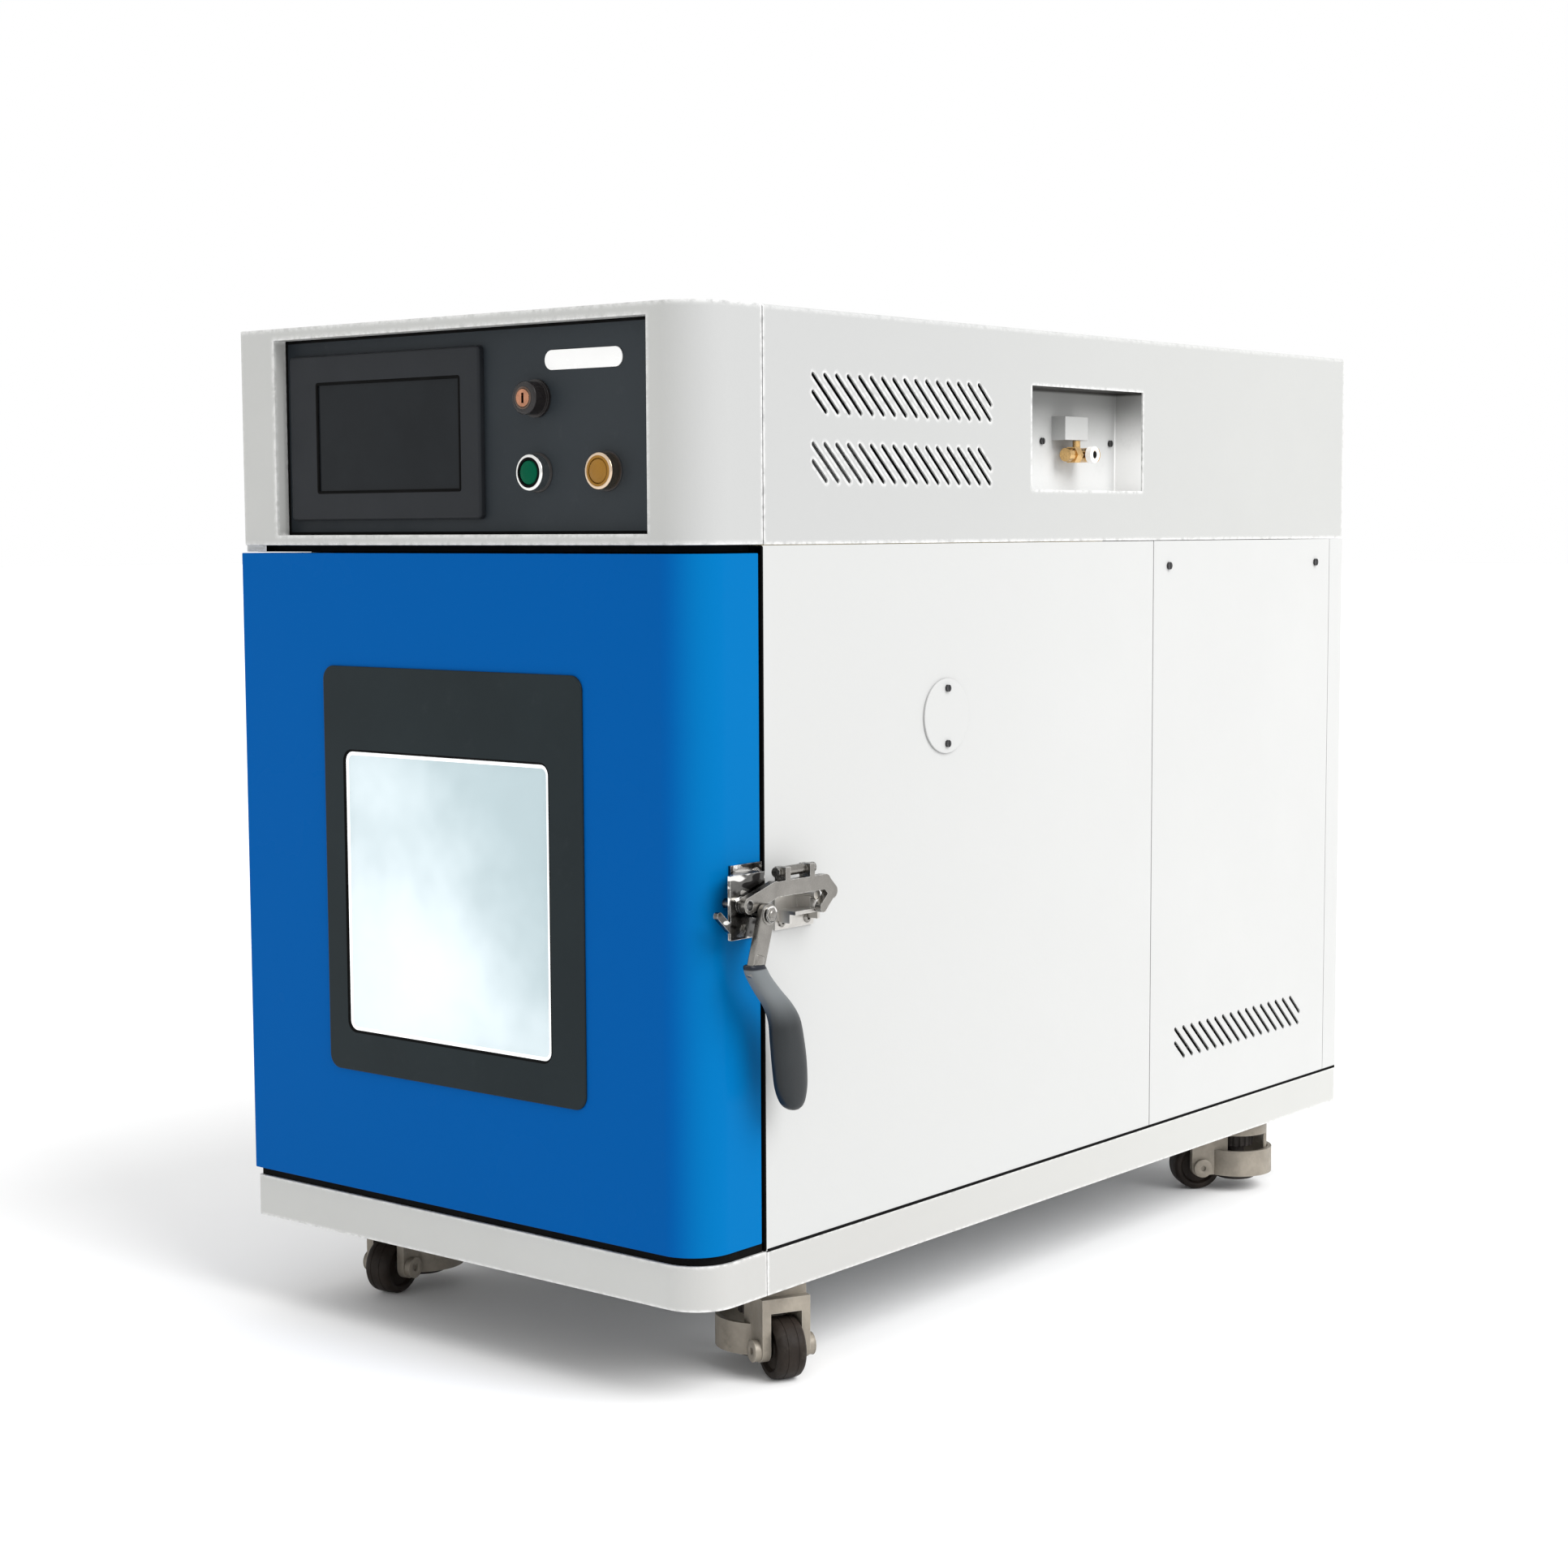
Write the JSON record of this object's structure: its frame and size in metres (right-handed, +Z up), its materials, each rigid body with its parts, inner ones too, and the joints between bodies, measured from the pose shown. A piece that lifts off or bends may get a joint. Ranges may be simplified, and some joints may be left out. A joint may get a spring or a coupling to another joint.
{
  "type": "laboratory incubator",
  "caption": "Tall insulated temperature chamber with a hinged windowed door, side latch, instrument control panel on top and swivel casters with levelling feet.",
  "frame": {"origin": "on the floor, under the middle of the whole outline", "axes": "-Y is the front with the door, +X the right side with the latch seen from the front, +Z up"},
  "size_m": [0.5724, 1.039, 0.853],
  "materials": {
    "header_paint": "light warm grey satin powder coat",
    "cabinet_paint": "off-white satin powder coat",
    "door_paint": "saturated blue gloss enamel",
    "galvanised": "galvanised sheet",
    "panel_paint": "charcoal satin paint",
    "bezel_plastic": "charcoal moulding",
    "screen_glass": "dark display, switched off",
    "badge_plastic": "white plate",
    "ring_chrome": "polished collar",
    "start_plastic": "dark green cap",
    "stop_plastic": "amber cap",
    "switch_plastic": "black moulding",
    "key_brass": "copper-coloured lock core",
    "pocket_paint": "light grey paint",
    "fitting_brass": "turned brass",
    "screw_steel": "blackened steel",
    "stainless": "brushed stainless sheet",
    "shelf_wire": "bright plated wire",
    "foam": "rigid foam, cut faces",
    "fan_aluminium": "pressed sheet",
    "motor_paint": "dark grey paint",
    "coil_aluminium": "fin stack with copper tubes",
    "compressor_paint": "black enamel",
    "fan_plastic": "black moulding",
    "tray_plastic": "grey housings on a tray",
    "gland_plastic": "black nylon",
    "border_plastic": "charcoal frame",
    "window_glass": "clear double pane, faintly misted",
    "gasket_rubber": "soft seal strip",
    "hinge_steel": "plated steel",
    "latch_nickel": "satin nickel castings",
    "grip_plastic": "grey moulded grip",
    "caster_steel": "plated steel",
    "caster_zinc": "warm grey cast housing",
    "wheel_plastic": "dark brown moulded wheel",
    "foot_rubber": "dark dial and pad"
  },
  "bodies": {
    "cabinet": {"base_plate": "galvanised", "base_skirt": "header_paint", "header_front": "header_paint", "header_cover": "header_paint", "control_panel": "panel_paint", "hmi_bezel": "bezel_plastic", "hmi_screen": "screen_glass", "badge_plate": "badge_plastic", "key_switch_body": "switch_plastic", "button_rings": "ring_chrome", "fill_pocket": "pocket_paint", "fill_fitting": "fitting_brass", "side_panel_right": "cabinet_paint", "rear_access_panel": "cabinet_paint", "side_panel_left": "cabinet_paint", "rear_panel": "cabinet_paint", "port_cover": "cabinet_paint", "panel_screws": "screw_steel", "mains_gland": "gland_plastic", "chamber_liner": "stainless", "insulation": "foam", "air_baffle": "stainless", "fan_motor": "motor_paint", "coil_and_heater": "coil_aluminium", "compressor": "compressor_paint", "condenser": "coil_aluminium", "electrical_tray": "tray_plastic", "hinge_leaves_cabinet": "hinge_steel", "latch_keeper": "latch_nickel", "caster_plates": "caster_steel"},
    "door": {"door_shell": "door_paint", "door_liner": "stainless", "door_insulation": "foam", "window_border": "border_plastic", "window_panes": "window_glass", "door_gasket": "gasket_rubber", "hinge_leaves_door": "hinge_steel", "latch_bracket": "latch_nickel"},
    "latch_lever": {"latch_handle": "latch_nickel", "latch_grip": "grip_plastic"},
    "claw": {"latch_claw": "latch_nickel"},
    "start_button": {"start_cap": "start_plastic"},
    "stop_button": {"stop_cap": "stop_plastic"},
    "key": {"key_core": "key_brass"},
    "circulation_rotor": {"circulation_fan": "fan_aluminium"},
    "condenser_rotor": {"condenser_fan": "fan_plastic"},
    "upper_shelf": {"shelf_upper": "shelf_wire"},
    "lower_shelf": {"shelf_lower": "shelf_wire"},
    "caster_fr": {"caster_housing_fr": "caster_zinc"},
    "wheel_fr": {"caster_wheel_fr": "wheel_plastic"},
    "foot_fr": {"levelling_foot_fr": "foot_rubber"},
    "caster_rr": {"caster_housing_rr": "caster_zinc"},
    "wheel_rr": {"caster_wheel_rr": "wheel_plastic"},
    "foot_rr": {"levelling_foot_rr": "foot_rubber"},
    "caster_fl": {"caster_housing_fl": "caster_zinc"},
    "wheel_fl": {"caster_wheel_fl": "wheel_plastic"},
    "foot_fl": {"levelling_foot_fl": "foot_rubber"},
    "caster_rl": {"caster_housing_rl": "caster_zinc"},
    "wheel_rl": {"caster_wheel_rl": "wheel_plastic"},
    "foot_rl": {"levelling_foot_rl": "foot_rubber"}
  },
  "joints": [
    {"name": "door_hinge", "type": "hinge", "parent": "cabinet", "child": "door", "pos_m": [-0.27975, -0.44, 0.3935], "axis": [0, 0, -1], "range_deg": [0, 120]},
    {"name": "lever_pivot", "type": "hinge", "parent": "door", "child": "latch_lever", "pos_m": [0.27925, -0.4715, 0.3905], "axis": [-1, 0, 0], "range_deg": [0, 100]},
    {"name": "claw_pivot", "type": "hinge", "parent": "door", "child": "claw", "pos_m": [0.27275, -0.4865, 0.398], "axis": [1, 0, 0], "range_deg": [0, 30]},
    {"name": "start_press", "type": "slide", "parent": "cabinet", "child": "start_button", "axis": [0, 1, 0], "range_m": [0, 0.003], "stiffness_N_per_m": 400},
    {"name": "stop_press", "type": "slide", "parent": "cabinet", "child": "stop_button", "axis": [0, 1, 0], "range_m": [0, 0.003], "stiffness_N_per_m": 400},
    {"name": "key_turn", "type": "hinge", "parent": "cabinet", "child": "key", "pos_m": [0.07125, -0.5085, 0.785], "axis": [0, 1, 0], "range_deg": [0, 90]},
    {"name": "circulation_spin", "type": "hinge", "parent": "cabinet", "child": "circulation_rotor", "pos_m": [-0.01075, -0.0355, 0.47], "axis": [0, 1, 0], "continuous": true},
    {"name": "condenser_spin", "type": "hinge", "parent": "cabinet", "child": "condenser_rotor", "pos_m": [-0.01075, 0.4315, 0.33], "axis": [0, 1, 0], "continuous": true},
    {"name": "upper_shelf_slide", "type": "slide", "parent": "cabinet", "child": "upper_shelf", "axis": [0, -1, 0], "range_m": [0, 0.06]},
    {"name": "lower_shelf_slide", "type": "slide", "parent": "cabinet", "child": "lower_shelf", "axis": [0, -1, 0], "range_m": [0, 0.06]},
    {"name": "swivel_fr", "type": "hinge", "parent": "cabinet", "child": "caster_fr", "pos_m": [0.18925, -0.3735, 0.07], "axis": [0, 0, 1], "continuous": true},
    {"name": "roll_fr", "type": "hinge", "parent": "caster_fr", "child": "wheel_fr", "pos_m": [0.22845, -0.39348, 0.025], "axis": [0.454, 0.891, 0], "continuous": true},
    {"name": "level_fr", "type": "slide", "parent": "caster_fr", "child": "foot_fr", "axis": [0, 0, -1], "range_m": [0, 0.01]},
    {"name": "swivel_rr", "type": "hinge", "parent": "cabinet", "child": "caster_rr", "pos_m": [0.18925, 0.4005, 0.07], "axis": [0, 0, 1], "continuous": true},
    {"name": "roll_rr", "type": "hinge", "parent": "caster_rr", "child": "wheel_rr", "pos_m": [0.16097, 0.36679, 0.025], "axis": [0.766, -0.6428, 0], "continuous": true},
    {"name": "level_rr", "type": "slide", "parent": "caster_rr", "child": "foot_rr", "axis": [0, 0, -1], "range_m": [0, 0.01]},
    {"name": "swivel_fl", "type": "hinge", "parent": "cabinet", "child": "caster_fl", "pos_m": [-0.21075, -0.3735, 0.07], "axis": [0, 0, 1], "continuous": true},
    {"name": "roll_fl", "type": "hinge", "parent": "caster_fl", "child": "wheel_fl", "pos_m": [-0.20463, -0.41707, 0.025], "axis": [0.9903, 0.1392, 0], "continuous": true},
    {"name": "level_fl", "type": "slide", "parent": "caster_fl", "child": "foot_fl", "axis": [0, 0, -1], "range_m": [0, 0.01]},
    {"name": "swivel_rl", "type": "hinge", "parent": "cabinet", "child": "caster_rl", "pos_m": [-0.21075, 0.4005, 0.07], "axis": [0, 0, 1], "continuous": true},
    {"name": "roll_rl", "type": "hinge", "parent": "caster_rl", "child": "wheel_rl", "pos_m": [-0.2496, 0.42116, 0.025], "axis": [-0.4695, -0.8829, 0], "continuous": true},
    {"name": "level_rl", "type": "slide", "parent": "caster_rl", "child": "foot_rl", "axis": [0, 0, -1], "range_m": [0, 0.01]}
  ],
  "couplings": [
    {"joint": "claw_pivot", "follows": "lever_pivot", "ratio": 0.3}
  ]
}
